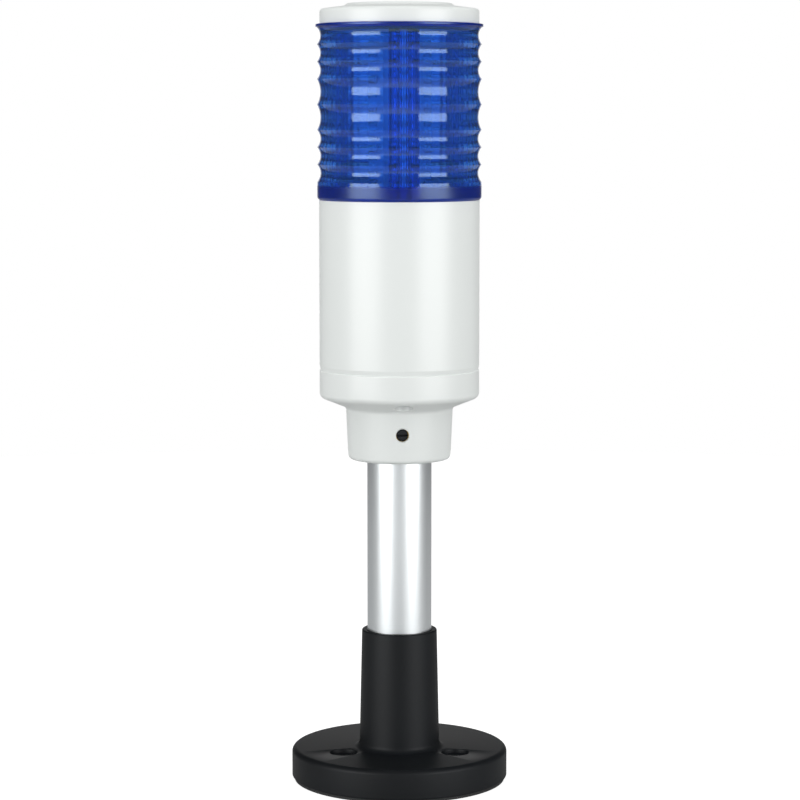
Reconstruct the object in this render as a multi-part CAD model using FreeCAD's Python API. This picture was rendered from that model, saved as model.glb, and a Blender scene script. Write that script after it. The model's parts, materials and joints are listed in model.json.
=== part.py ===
import FreeCAD, Part
import math
import os

# One-tier stack light on a pole. Millimetres, +Z up. The origin is the centre of the base's
# underside, and the front, where the collar's set screw is, faces -Y.

# --- Fits shared by several pieces ----------------------------------------------------------------
SLIP = 0.05              # gap between moulded parts that slide together
POLE_SLIP = 0.05         # radial gap of the pole in the base's socket
TURN_SLIP = 0.08         # radial gap of the pole in the turning collar
THREAD_SLIP = 0.02       # radial gap drawn between a thread and its nut or pilot hole
HEAD_TURN = 3.5          # degrees by which the head stands turned on the pole

# --- Pole -----------------------------------------------------------------------------------------
POLE_R = 11.0
POLE_WALL = 1.25
POLE_LENGTH = 130.0
POLE_CHAMFER = 0.3
LEAD_SLIP = 0.25         # how much wider the holes for the lead are than the pole's bore

# --- Base: rubber gasket, black moulded flange with its socket ------------------------------------
GASKET_T = 1.0           # rubber sheet under the flange
GASKET_INSET = 0.8       # how far its edge stays inside the flange's edge
BASE_R = 37.0            # outside radius of the flange
BASE_H = 10.2            # height of the flange's disc
BASE_TOP_ROUND = 1.8     # rounding of the disc's upper edge
BASE_FOOT_ROUND = 0.6    # rounding of its lower edge
BASE_PLATE = 3.4         # thickness of the disc's top plate, over the hollow underside
BASE_RIM = 3.0           # thickness of the rim round the hollow underside
BASE_RIB = 1.8           # thickness of the ribs in the hollow
BASE_RIBS = 6            # ribs in the hollow
SOCKET_H = 40.8          # height of the socket above the disc
SOCKET_WALL = 1.85       # its wall outside the pole, at its mouth
SOCKET_TAPER = 0.9       # how much wider its foot is
SOCKET_FILLET = 2.0      # fillet between socket and disc
SOCKET_EDGE = 0.5        # rounding of the socket's mouth
SOCKET_FLOOR = 4.0       # height of the ledge that the pole stands on, above the flange's foot
HOLE_CIRCLE_R = 22.0     # circle of the mounting holes
HOLE_COUNT = 3
HOLE_R = 2.6             # mounting holes
HOLE_SINK_R = 4.7        # counterbores of the mounting holes
HOLE_SINK = 1.4          # their depth
HOLE_BOSS_WALL = 2.0     # wall of the bosses round the counterbores
GASKET_HOLE_SLIP = 0.4   # how much wider the gasket's holes are

SOCKET_R_TOP = POLE_R + SOCKET_WALL            # outside of the socket at its mouth
SOCKET_R_FOOT = SOCKET_R_TOP + SOCKET_TAPER    # outside of the socket where it meets the disc

# --- Screw that holds the pole in the base --------------------------------------------------------
PIN_SCREW_Z = 28.0       # height of the screw above the disc
PIN_SCREW_R = 1.45       # self-tapping screw through socket and pole
PIN_SCREW_LENGTH = 4.5
PIN_HEAD_R = 2.8
PIN_HEAD_H = 2.0
HEAD_ROUND = 0.6         # rounding of screw heads
SCREW_POINT = 0.5        # chamfer of screw tips
DRIVE_DEPTH = 1.0        # depth of the cross recesses in screw heads
DRIVE_SPAN = 1.9         # half the width of a cross recess
DRIVE_WIDTH = 0.8

# --- Lower housing: collar and bowl in one moulding -----------------------------------------------
POLE_GRIP = 24.0         # length of the pole inside the collar
COLLAR_H = 17.8          # collar below the bowl
COLLAR_WIDTH = 6.4       # from the pole's skin to the collar's, at its mouth
COLLAR_FLARE = 0.8       # how much wider the collar is just under the bowl
COLLAR_R_MOUTH = POLE_R + COLLAR_WIDTH
COLLAR_R_NECK = COLLAR_R_MOUTH + COLLAR_FLARE
COLLAR_EDGE = 1.5        # rounding of the collar's lower edge
NECK_ROUND = 1.6         # fillet between collar and bowl
BOWL_H = 12.9            # bowl from the collar's top to the seam
BOWL_RISE = 3.6          # how much the bowl's underside rises to its edge
BOWL_CORNER = 2.2        # rounding of the bowl's lower edge
BOWL_WALL = 2.4
SHOULDER = 2.5           # thickness of the shoulder over the pole's end
COLLAR_SLEEVE = 2.4      # inner wall of the collar, round the pole
COLLAR_SKIN = 2.3        # outer wall of the collar
COLLAR_FLOOR = 2.6       # wall left at the collar's mouth under the hollow between the two
COLLAR_RIBS = 6
COLLAR_RIB = 1.8
SET_BLOCK = 9.0          # width of the solid block round the set screw
SET_Z = 9.8              # height of the set screw above the collar's mouth
SET_R = 2.0              # slotted set screw
SET_LENGTH = 5.0
SET_HOLE_R = 2.2         # hole through the collar's skin
SET_POINT = 0.7          # height of its pointed end
SET_CHAMFER = 0.3        # chamfer of its slotted end
SET_TIP_GAP = 0.06       # gap between its point and the pole
SET_SLOT = 0.8           # width of the screwdriver slot
SET_SLOT_DEPTH = 1.3
INSERT_R = 2.8           # brass insert that the set screw runs in
INSERT_LENGTH = 4.0
INSERT_SETBACK = 0.5     # how far the insert's inner end stays behind the bore

# --- Case: what the stacked cases share -----------------------------------------------------------
CASE_R = 27.15           # outside radius of bowl and body housing
CASE_WALL = 2.2
CASE_LIP = 1.15          # lower case's lip outside each lap joint
LAP_R = CASE_R - CASE_LIP
TONGUE = 1.0             # height of the upper part's tongue
SEAL_T = 1.0             # thickness of the flat seals
SEAM = 0.35              # chamfers that make the seam's groove
TIE_COUNT = 3
COLUMN_R = 4.25          # moulded columns that the tie screws run in
COLUMN_SET = 2.65        # from the case's bore to the columns' centres
TIE_CIRCLE_R = CASE_R - CASE_WALL - COLUMN_SET
TIE_R = 1.5
TIE_HOLE_R = 1.7
TIE_HEAD_R = 2.8
TIE_HEAD_H = 2.0
TIE_SINK_R = 3.1         # recesses in the bowl for the screw heads
TIE_SEAT = 4.7           # height of the heads' seat above the collar's top
TIE_TIP_GAP = 0.3        # room over the screw's end inside the cap

# --- Body housing ---------------------------------------------------------------------------------
HOUSING_H = 57.4
SHELF_DROP = 8.0         # shelf's top below the lens
SHELF_T = 2.0
POST_SET = 7.35          # from the case's bore to the posts that carry the boards
POST_CIRCLE_R = CASE_R - CASE_WALL - POST_SET
POST_R = 2.6
POST_H = 8.0             # posts below the shelf
POST_OFFSET = 60.0       # degrees between a column and the next post

# --- Boards and what is on them -------------------------------------------------------------------
BOARD_T = 1.6
BOARD_GAP = 3.95         # between the round boards' edge and the case's bore
BOARD_R = CASE_R - CASE_WALL - BOARD_GAP
BOARD_NOTCH = 0.7        # gap between a board's notch and the column in it
BOARD_SCREW_R = 1.2
BOARD_SCREW_LENGTH = 6.0
BOARD_SCREW_HEAD_R = 2.2
BOARD_SCREW_HEAD_H = 1.6
BOARD_HOLE_R = 1.4
TERMINAL_POLES = 3
TERMINAL_PITCH = 5.08
TERMINAL_DEPTH = 10.0
TERMINAL_H = 13.0
TERMINAL_Y = -8.5        # centre of the block, in front of the axis
TERMINAL_SCREW_R = 1.7
TERMINAL_SCREW_H = 2.2
TERMINAL_MOUTH = 3.6     # wire openings, square
COMPONENT_GAP = 1.5      # between neighbouring components
CAN_R = 4.0              # smoothing capacitor
CAN_H = 14.0
CAN_ROUND = 0.6
CAN_GROOVE_Z = 2.4       # rolled groove, from the board
CAN_GROOVE = 0.5         # its depth
CAN_GROOVE_HALF = 0.8    # half its height
FILM_WIDTH = 5.0
FILM_DEPTH = 11.0
FILM_H = 10.0
CHOKE_R = 2.8
CHOKE_H = 8.0
CHOKE_FLANGE_T = 1.4     # flanges of the choke's drum
CHOKE_WAIST = 0.6        # how far its winding stays inside the flanges
RECTIFIER_WIDTH = 4.8
RECTIFIER_DEPTH = 4.0
RECTIFIER_H = 2.6
HEADER_PINS = 4
HEADER_PITCH = 2.54
HEADER_DEPTH = 2.5
WINDOW_GAP = 1.0         # round the link header, where it passes the shelf
PIN_R = 0.32
PIN_HOLE_R = 0.5
PIN_TAIL = 1.0           # how far the link pins stand out of each board

# --- Light core -----------------------------------------------------------------------------------
CORE_SIDES = 6
CORE_FLAT_R = 8.5        # from the axis to the holder's flats
CORE_WALL = 1.5
CORE_TOP_GAP = 6.0       # core's top plate below the lens's top
CORE_PLATE = 1.6         # thickness of the holder's top plate
CORE_FOOT = 4.0          # thickness of the holder's floor, which takes its screw
STRIP_T = 1.0            # strip boards with the diodes
STRIP_WIDTH = 8.6
STRIP_LIP = 1.2          # how far the top plate reaches out past the strips
DIODES = 5               # diodes on a strip
DIODE_WIDTH = 3.5
DIODE_T = 1.4
DIODE_DOME_R = 1.35
DIODE_MARGIN = 7.0       # first and last diode from the strip's ends
RESISTOR_WIDTH = 3.2
RESISTOR_T = 0.6
RESISTOR_H = 1.6
RESISTOR_Z = 3.0         # above the strip's foot
HOLDER_SCREW_R = 1.5
HOLDER_SCREW_LENGTH = 6.5

# --- Lens -----------------------------------------------------------------------------------------
LENS_PROUD = 0.6         # how far the lens stands out past the case
LENS_R = CASE_R + LENS_PROUD            # cusps between the scallops, and the plain band
LENS_VALLEY = 1.1        # depth of the scallops
LENS_BAND = 6.1          # plain band at the foot
SMALL_SCALLOP = 5.8
LARGE_SCALLOP = 8.5
SCALLOPS = (SMALL_SCALLOP,) * 3 + (LARGE_SCALLOP,) * 2 + (SMALL_SCALLOP,) * 3
LENS_FLANGE = 0.9        # thickness of the rim under the cap
LENS_FLANGE_PROUD = 0.45
LENS_FLANGE_R = LENS_R + LENS_FLANGE_PROUD
LENS_BORE_R = CASE_R - CASE_WALL        # ridges between the flutes inside
FLUTES = 60
FLUTE_DEPTH = 0.4
FLUTE_MARGIN = 2.5       # plain length inside, at each end of the flutes
BORE_STEP = 0.02         # how far the plain ends of the bore stay inside the flutes' ridges

# --- Top cap --------------------------------------------------------------------------------------
CAP_INSET = 0.3          # how far the cap stays inside the case's outside
CAP_R = CASE_R - CAP_INSET
CAP_RIM_H = 5.0          # height of the rim's edge
CAP_EDGE = 1.1           # rounding of the rim's edge
CAP_SHOULDER = 8.25      # width of the slope round the raised disc
CAP_SHOULDER_R = CAP_R - CAP_SHOULDER
CAP_SHOULDER_H = 6.1
CAP_STEP = 1.0           # width of the step up to the raised disc
CAP_DISC_R = CAP_SHOULDER_R - CAP_STEP
CAP_DISC_H = 6.9
CAP_H = 7.2              # height at the centre
CAP_STEP_ROUND = 0.35    # roundings of the raised disc's edge
CAP_WALL = 1.6
NUT_R = 2.3              # brass inserts for the tie screws
NUT_LENGTH = 4.5

# --- Places that follow from the sizes above -----------------------------------------------------
base_z = GASKET_T
disc_top_z = base_z + BASE_H
socket_top_z = disc_top_z + SOCKET_H
pole_foot_z = base_z + SOCKET_FLOOR
pole_top_z = pole_foot_z + POLE_LENGTH
pole_bore_r = POLE_R - POLE_WALL
lead_hole_r = pole_bore_r + LEAD_SLIP
collar_z = pole_top_z - POLE_GRIP
collar_top_z = collar_z + COLLAR_H
collar_bore_r = POLE_R + TURN_SLIP
seam_z = collar_top_z + BOWL_H
lens_z = seam_z + HOUSING_H
lens_h = LENS_BAND + sum(SCALLOPS) + LENS_FLANGE
cap_z = lens_z + lens_h
case_bore_r = CASE_R - CASE_WALL
lap_h = TONGUE + SEAL_T
shelf_top_z = lens_z - SHELF_DROP
shelf_z = shelf_top_z - SHELF_T
driver_top_z = shelf_z - POST_H
driver_z = driver_top_z - BOARD_T
core_z = shelf_top_z + BOARD_T
core_top_z = cap_z - CORE_TOP_GAP
strip_h = core_top_z - CORE_PLATE - core_z
tie_seat_z = collar_top_z + TIE_SEAT
nut_z = cap_z - TONGUE
tie_tip_z = nut_z + NUT_LENGTH - TIE_TIP_GAP
strip_face_r = CORE_FLAT_R + STRIP_T
header_y = (strip_face_r + POST_CIRCLE_R - POST_R) / 2           # halfway from the core to a post
row_y = TERMINAL_Y + TERMINAL_DEPTH / 2 + COMPONENT_GAP          # front of the components' row
middle_half = max(RECTIFIER_WIDTH / 2, CHOKE_R)
can_x = middle_half + COMPONENT_GAP + CAN_R
film_x = -(middle_half + COMPONENT_GAP + FILM_WIDTH / 2)
choke_y = row_y + RECTIFIER_DEPTH + COMPONENT_GAP + CHOKE_R
ABOVE = 2 * (cap_z + CAP_H)      # taller than the whole light, for cutting tools
PAST = 1.0               # how far cutting tools reach past what they cut


# --- Small helpers --------------------------------------------------------------------------------
def polar(radius, degrees):
    """The point at this radius, turned by degrees from the front (-Y) towards +X."""
    angle = math.radians(degrees)
    return radius * math.sin(angle), -radius * math.cos(angle)


def cylinder(radius, z0, z1, x=0.0, y=0.0):
    return Part.makeCylinder(radius, z1 - z0, FreeCAD.Vector(x, y, z0))


def tube(outer, inner, z0, z1):
    return cylinder(outer, z0, z1).cut(cylinder(inner, z0 - PAST, z1 + PAST))


def block(width, depth, z0, z1, x=0.0, y=0.0):
    corner = FreeCAD.Vector(x - width / 2, y - depth / 2, z0)
    return Part.makeBox(width, depth, z1 - z0, corner)


def turned(shape, degrees):
    """A copy of the shape, turned about the pole's axis."""
    copy = shape.copy()
    copy.rotate(FreeCAD.Vector(0, 0, 0), FreeCAD.Vector(0, 0, 1), degrees)
    return copy


def ring_of(shape, count, start=0.0):
    """Copies of the shape, spread evenly round the axis."""
    return [turned(shape, start + 360.0 * step / count) for step in range(count)]


def laid_out(shape, z, degrees):
    """A shape made standing on the origin, laid down so that its +Z points away from the axis."""
    copy = shape.copy()
    copy.rotate(FreeCAD.Vector(0, 0, 0), FreeCAD.Vector(1, 0, 0), 90)
    copy.translate(FreeCAD.Vector(0, 0, z))
    return turned(copy, degrees)


def corner_arc(before, corner, after, radius):
    """Start, middle and end of the arc that rounds a corner of an outline."""
    to_before = (before - corner).normalize()
    to_after = (after - corner).normalize()
    half = to_before.getAngle(to_after) / 2
    reach = radius / math.tan(half)
    inward = (to_before + to_after).normalize()
    middle = corner + inward * (radius / math.sin(half) - radius)
    return corner + to_before * reach, middle, corner + to_after * reach


def revolved(corners):
    """The solid that a closed outline of (radius, z, rounding) corners sweeps round the axis."""
    points = [FreeCAD.Vector(corner[0], 0, corner[1]) for corner in corners]
    count = len(corners)
    edges = []
    stops = []
    for index, corner in enumerate(corners):
        if len(corner) < 3:
            stops.append((points[index], points[index]))
            continue
        before = FreeCAD.Vector(points[index - 1])
        after = FreeCAD.Vector(points[(index + 1) % count])
        start, middle, end = corner_arc(before, points[index], after, corner[2])
        edges.append(Part.Arc(start, middle, end).toShape())
        stops.append((start, end))
    for index in range(count):
        start = stops[index][1]
        end = stops[(index + 1) % count][0]
        if start.distanceToPoint(end) > 1e-6:
            edges.append(Part.LineSegment(start, end).toShape())
    wire = Part.Wire(Part.__sortEdges__(edges))
    return Part.Face(wire).revolve(FreeCAD.Vector(0, 0, 0), FreeCAD.Vector(0, 0, 1), 360)


def cross_recess(z_face, inwards, x=0.0, y=0.0):
    """Cutting tool for the cross in a screw head; inwards is +1 where the head lies above z_face."""
    z0 = min(z_face, z_face + inwards * DRIVE_DEPTH)
    z1 = max(z_face, z_face + inwards * DRIVE_DEPTH)
    arm = block(2 * DRIVE_SPAN, DRIVE_WIDTH, z0, z1, x, y)
    return arm.fuse(block(DRIVE_WIDTH, 2 * DRIVE_SPAN, z0, z1, x, y))


def screw_up(shank_r, head_r, head_h, z_seat, z_tip):
    """A screw on the axis whose head hangs under z_seat and whose tip points up."""
    edge = min(head_h / 2, HEAD_ROUND)
    head = revolved([(0, z_seat - head_h), (head_r, z_seat - head_h, edge), (head_r, z_seat), (0, z_seat)])
    tip = min(SCREW_POINT, shank_r / 2)
    shank = revolved([(0, z_seat - head_h / 2), (shank_r, z_seat - head_h / 2), (shank_r, z_tip - tip),
                      (shank_r - tip, z_tip), (0, z_tip)])
    return head.fuse(shank).cut(cross_recess(z_seat - head_h, 1)).removeSplitter()


def flipped(shape, z_middle):
    """The shape turned upside down about the level z_middle."""
    copy = shape.copy()
    copy.rotate(FreeCAD.Vector(0, 0, z_middle), FreeCAD.Vector(1, 0, 0), 180)
    return copy


def moved(shape, x, y):
    copy = shape.copy()
    copy.translate(FreeCAD.Vector(x, y, 0))
    return copy


def moved_ring(shape, radius, count, start=0.0):
    """Copies of a shape made on the axis, standing on a circle of this radius."""
    x, y = polar(radius, 0.0)
    return ring_of(moved(shape, x, y), count, start)


# --- The stand ------------------------------------------------------------------------------------
def base_gasket():
    """Rubber sheet with a hole for the lead and three for the mounting screws."""
    sheet = tube(BASE_R - GASKET_INSET, lead_hole_r, 0, GASKET_T)
    hole = cylinder(HOLE_R + GASKET_HOLE_SLIP, -PAST, GASKET_T + PAST)
    return sheet.cut(moved_ring(hole, HOLE_CIRCLE_R, HOLE_COUNT, 180.0))


def base_flange():
    """Disc with a hollow, ribbed underside and a tapered socket for the pole."""
    body = revolved([
        (0, base_z), (BASE_R, base_z, BASE_FOOT_ROUND), (BASE_R, disc_top_z, BASE_TOP_ROUND),
        (SOCKET_R_FOOT, disc_top_z, SOCKET_FILLET), (SOCKET_R_TOP, socket_top_z, SOCKET_EDGE),
        (0, socket_top_z)])
    hollow = tube(BASE_R - BASE_RIM, SOCKET_R_FOOT, base_z, disc_top_z - BASE_PLATE)
    rib = block(BASE_RIB, 2 * BASE_R, base_z, disc_top_z)
    boss = cylinder(HOLE_SINK_R + HOLE_BOSS_WALL, base_z, disc_top_z)
    bosses = moved_ring(boss, HOLE_CIRCLE_R, HOLE_COUNT, 180.0)
    hollow = hollow.cut(ring_of(rib, BASE_RIBS // 2, 90.0) + bosses)
    socket = cylinder(POLE_R + POLE_SLIP, pole_foot_z, ABOVE)
    lead_hole = cylinder(lead_hole_r, base_z - PAST, ABOVE)
    hole = cylinder(HOLE_R, base_z - PAST, ABOVE)
    sink = cylinder(HOLE_SINK_R, disc_top_z - HOLE_SINK, ABOVE)
    holes = moved_ring(hole.fuse(sink), HOLE_CIRCLE_R, HOLE_COUNT, 180.0)
    screw_hole = laid_out(cylinder(PIN_SCREW_R + SLIP, 0, 2 * SOCKET_R_FOOT), disc_top_z + PIN_SCREW_Z, 180)
    head_sink = laid_out(cylinder(PIN_HEAD_R + SLIP, pin_seat_r(), 2 * SOCKET_R_FOOT),
                         disc_top_z + PIN_SCREW_Z, 180)
    return body.cut([hollow, socket, lead_hole, screw_hole, head_sink] + holes)


def pin_seat_r():
    """Distance from the axis of the small flat that the pole screw's head sits on."""
    share = PIN_SCREW_Z / SOCKET_H
    skin_r = SOCKET_R_FOOT + (SOCKET_R_TOP - SOCKET_R_FOOT) * share
    return math.sqrt(skin_r ** 2 - PIN_HEAD_R ** 2) - SLIP


def pole():
    """Drawn aluminium tube with chamfered ends and a hole for its screw."""
    c = POLE_CHAMFER
    tube_wall = revolved([
        (pole_bore_r + c, pole_foot_z), (POLE_R - c, pole_foot_z), (POLE_R, pole_foot_z + c),
        (POLE_R, pole_top_z - c), (POLE_R - c, pole_top_z), (pole_bore_r + c, pole_top_z),
        (pole_bore_r, pole_top_z - c), (pole_bore_r, pole_foot_z + c)])
    screw_hole = laid_out(cylinder(PIN_SCREW_R + THREAD_SLIP, 0, 2 * POLE_R), disc_top_z + PIN_SCREW_Z, 180)
    return tube_wall.cut(screw_hole)


def pole_screw():
    """Self-tapping screw at the back, through the socket into the pole's wall."""
    screw = screw_up(PIN_SCREW_R, PIN_HEAD_R, PIN_HEAD_H, 0, PIN_SCREW_LENGTH)
    screw = flipped(screw, 0)
    screw.translate(FreeCAD.Vector(0, 0, pin_seat_r()))
    return laid_out(screw, disc_top_z + PIN_SCREW_Z, 180)


# --- Joints of the stacked cases ------------------------------------------------------------------
def column(z0, z1):
    """A tie-screw column with a root as wide as itself, kept inside the lap joint's radius."""
    x, y = polar(TIE_CIRCLE_R, 0.0)
    root = block(2 * COLUMN_R, LAP_R - TIE_CIRCLE_R, z0, z1, 0, -(LAP_R + TIE_CIRCLE_R) / 2)
    return cylinder(COLUMN_R, z0, z1, x, y).fuse(root).common(cylinder(LAP_R - SLIP / 2, z0, z1))


def columns(z0, z1):
    return ring_of(column(z0, z1), TIE_COUNT)


def tie_holes(radius, z0, z1):
    return moved_ring(cylinder(radius, z0, z1), TIE_CIRCLE_R, TIE_COUNT)


def lap_recess(z_joint):
    """What is cut from the lower case: room for the seal and the upper case's tongue."""
    return cylinder(LAP_R + SLIP / 2, z_joint - lap_h, z_joint + PAST)


def tongue(z_joint, bore_r):
    """The upper case's tongue, which presses the seal down."""
    return tube(LAP_R - SLIP / 2, bore_r, z_joint - TONGUE, z_joint)


def seal(z_joint):
    """Flat rubber seal: a ring with an eye round each tie screw."""
    z0 = z_joint - lap_h
    z1 = z_joint - TONGUE
    x, y = polar(TIE_CIRCLE_R, 0.0)
    eye = cylinder(COLUMN_R, z0, z1, x, y).common(cylinder(LAP_R - SLIP, z0, z1))
    ring = tube(LAP_R - SLIP, case_bore_r, z0, z1)
    sheet = ring.fuse(ring_of(eye, TIE_COUNT))
    return sheet.cut(tie_holes(TIE_HOLE_R, z0 - PAST, z1 + PAST)).removeSplitter()


# --- Lower housing --------------------------------------------------------------------------------
def lower_housing():
    """Collar and bowl: one moulding that sits on the pole's end and turns on it."""
    bowl_edge_z = collar_top_z + BOWL_RISE
    body = revolved([
        (0, collar_z), (COLLAR_R_MOUTH, collar_z, COLLAR_EDGE), (COLLAR_R_NECK, collar_top_z, NECK_ROUND),
        (CASE_R, bowl_edge_z, BOWL_CORNER), (CASE_R, seam_z - SEAM), (CASE_R - SEAM, seam_z), (0, seam_z)])
    inside_z = collar_top_z + BOWL_WALL
    inside = revolved([
        (0, pole_top_z + SHOULDER), (collar_bore_r + COLLAR_SLEEVE, pole_top_z + SHOULDER),
        (collar_bore_r + COLLAR_SLEEVE, inside_z), (COLLAR_R_NECK, inside_z),
        (CASE_R - BOWL_WALL, bowl_edge_z + BOWL_WALL, BOWL_CORNER), (CASE_R - BOWL_WALL, seam_z + PAST),
        (0, seam_z + PAST)])
    inside = inside.cut(columns(collar_z, seam_z))
    hollow = tube(COLLAR_R_MOUTH - COLLAR_SKIN, collar_bore_r + COLLAR_SLEEVE,
                  collar_z + COLLAR_FLOOR, inside_z + PAST)
    rib = block(COLLAR_RIB, 2 * COLLAR_R_MOUTH, collar_z, seam_z)
    set_block = block(SET_BLOCK, COLLAR_R_MOUTH, collar_z, collar_z + 2 * SET_Z, 0, -COLLAR_R_MOUTH / 2)
    hollow = hollow.cut(ring_of(rib, COLLAR_RIBS // 2) + [set_block])
    bore = cylinder(collar_bore_r, collar_z - PAST, pole_top_z)
    lead_hole = cylinder(lead_hole_r, collar_z - PAST, ABOVE)
    set_z = collar_z + SET_Z
    set_hole = laid_out(cylinder(SET_HOLE_R, 0, 2 * COLLAR_R_NECK), set_z, 0)
    pocket = laid_out(cylinder(INSERT_R + SLIP, 0, insert_r0() + INSERT_LENGTH), set_z, 0)
    ties = tie_holes(TIE_HOLE_R, collar_z, ABOVE) + tie_holes(TIE_SINK_R, collar_z, tie_seat_z)
    body = body.cut([inside, hollow, bore, lead_hole, set_hole, pocket, lap_recess(seam_z)] + ties)
    return turned(body, HEAD_TURN)


def insert_r0():
    """Distance from the axis of the brass insert's inner end."""
    return collar_bore_r + INSERT_SETBACK


def collar_insert():
    """Knurled brass insert for the set screw."""
    r0 = insert_r0()
    body = revolved([
        (SET_R + THREAD_SLIP, r0), (INSERT_R, r0), (INSERT_R, r0 + INSERT_LENGTH),
        (SET_R + THREAD_SLIP, r0 + INSERT_LENGTH)])
    return laid_out(body, collar_z + SET_Z, HEAD_TURN)


def collar_set_screw():
    """Slotted set screw with a flat-ended cone point."""
    r0 = POLE_R + SET_TIP_GAP
    r1 = r0 + SET_LENGTH
    body = revolved([
        (0, r0), (SET_R / 2, r0), (SET_R, r0 + SET_POINT), (SET_R, r1 - SET_CHAMFER),
        (SET_R - SET_CHAMFER, r1), (0, r1)])
    slot = block(3 * SET_R, SET_SLOT, r1 - SET_SLOT_DEPTH, r1 + PAST)
    return laid_out(body.cut(slot), collar_z + SET_Z, HEAD_TURN)


# --- Body housing ---------------------------------------------------------------------------------
def board_posts(shape):
    """Copies of a shape made on the axis, one on each board post."""
    return moved_ring(shape, POST_CIRCLE_R, TIE_COUNT, POST_OFFSET)


def body_housing():
    """White tube with tie-screw columns, a shelf near its top and posts for the driver board."""
    wall = revolved([
        (case_bore_r, seam_z), (CASE_R - SEAM, seam_z), (CASE_R, seam_z + SEAM), (CASE_R, lens_z),
        (case_bore_r, lens_z)])
    shelf = cylinder(LAP_R, shelf_z, shelf_top_z)
    posts = board_posts(cylinder(POST_R, driver_top_z, shelf_top_z))
    pieces = [shelf, tongue(seam_z, case_bore_r)] + columns(seam_z - TONGUE, lens_z) + posts
    width = HEADER_PINS * HEADER_PITCH + 2 * WINDOW_GAP
    depth = HEADER_DEPTH + 2 * WINDOW_GAP
    window = block(width, depth, shelf_z - PAST, shelf_top_z + PAST, 0, header_y)
    screw_window = cylinder(CORE_FLAT_R - CORE_WALL, shelf_z - PAST, shelf_top_z + PAST)
    pilots = board_posts(cylinder(BOARD_SCREW_R + THREAD_SLIP, driver_top_z - PAST, shelf_top_z + PAST))
    cuts = [window, screw_window, lap_recess(lens_z)] + pilots
    cuts += tie_holes(TIE_HOLE_R, seam_z - 2 * lap_h, ABOVE)
    return turned(wall.fuse(pieces).cut(cuts).removeSplitter(), HEAD_TURN)


# --- Driver board ---------------------------------------------------------------------------------
def round_board(z0):
    """Round board with a notch for each column, screw holes and the link pins' holes."""
    board = cylinder(BOARD_R, z0, z0 + BOARD_T)
    notch = cylinder(COLUMN_R + BOARD_NOTCH, z0 - PAST, z0 + BOARD_T + PAST)
    notches = moved_ring(notch, TIE_CIRCLE_R, TIE_COUNT)
    screw_holes = board_posts(cylinder(BOARD_HOLE_R, z0 - PAST, z0 + BOARD_T + PAST))
    pin_holes = [cylinder(PIN_HOLE_R, z0 - PAST, z0 + BOARD_T + PAST, x, header_y) for x in pin_places()]
    return board.cut(notches + screw_holes + pin_holes)


def pin_places():
    """Positions of the link pins along their row."""
    first = -(HEADER_PINS - 1) / 2
    return [(first + index) * HEADER_PITCH for index in range(HEADER_PINS)]


def driver_board():
    return turned(round_board(driver_z), HEAD_TURN)


def terminal_places():
    """Centres of the terminal block's poles, from left to right."""
    first = -(TERMINAL_POLES - 1) / 2
    return [(first + index) * TERMINAL_PITCH for index in range(TERMINAL_POLES)]


def terminal_block():
    """Terminal block under the driver board, with a wire opening and a screw hole for each pole."""
    z0 = driver_z - TERMINAL_H
    width = TERMINAL_POLES * TERMINAL_PITCH
    body = block(width, TERMINAL_DEPTH, z0, driver_z, 0, TERMINAL_Y)
    cuts = []
    for x in terminal_places():
        cuts.append(cylinder(TERMINAL_SCREW_R + 2 * SLIP, z0 - PAST, z0 + TERMINAL_H / 2, x, TERMINAL_Y))
        mouth_z = z0 + TERMINAL_H / 2
        cuts.append(block(TERMINAL_MOUTH, TERMINAL_DEPTH / 2 + PAST, mouth_z, mouth_z + TERMINAL_MOUTH,
                          x, TERMINAL_Y - TERMINAL_DEPTH / 4))
    return turned(body.cut(cuts), HEAD_TURN)


def terminal_screws():
    """Slotted screws, seated at the bottom of the block's screw holes."""
    z1 = driver_z - TERMINAL_H / 2
    screws = []
    for x in terminal_places():
        body = cylinder(TERMINAL_SCREW_R, z1 - TERMINAL_SCREW_H, z1, x, TERMINAL_Y)
        slot = block(4 * TERMINAL_SCREW_R, DRIVE_WIDTH, z1 - TERMINAL_SCREW_H - 1,
                     z1 - TERMINAL_SCREW_H + DRIVE_DEPTH, x, TERMINAL_Y)
        screws.append(turned(body.cut(slot), HEAD_TURN))
    return Part.makeCompound(screws)


def smoothing_capacitor():
    """Round can with a rolled groove near its foot."""
    top = driver_z
    foot = driver_z - CAN_H
    groove_z = top - CAN_GROOVE_Z
    can = revolved([
        (0, foot), (CAN_R, foot, CAN_ROUND), (CAN_R, groove_z - CAN_GROOVE_HALF),
        (CAN_R - CAN_GROOVE, groove_z), (CAN_R, groove_z + CAN_GROOVE_HALF), (CAN_R, top), (0, top)])
    return turned(moved(can, can_x, row_y + CAN_R), HEAD_TURN)


def film_capacitor():
    y = row_y + FILM_DEPTH / 2
    return turned(block(FILM_WIDTH, FILM_DEPTH, driver_z - FILM_H, driver_z, film_x, y), HEAD_TURN)


def choke():
    """Drum core with its winding in one potted piece: waisted between two flanges."""
    top = driver_z
    foot = driver_z - CHOKE_H
    waist_r = CHOKE_R - CHOKE_WAIST
    drum = revolved([
        (0, foot), (CHOKE_R, foot), (CHOKE_R, foot + CHOKE_FLANGE_T), (waist_r, foot + CHOKE_FLANGE_T),
        (waist_r, top - CHOKE_FLANGE_T), (CHOKE_R, top - CHOKE_FLANGE_T), (CHOKE_R, top), (0, top)])
    return turned(moved(drum, 0, choke_y), HEAD_TURN)


def rectifier():
    y = row_y + RECTIFIER_DEPTH / 2
    return turned(block(RECTIFIER_WIDTH, RECTIFIER_DEPTH, driver_z - RECTIFIER_H, driver_z, 0, y), HEAD_TURN)


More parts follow.
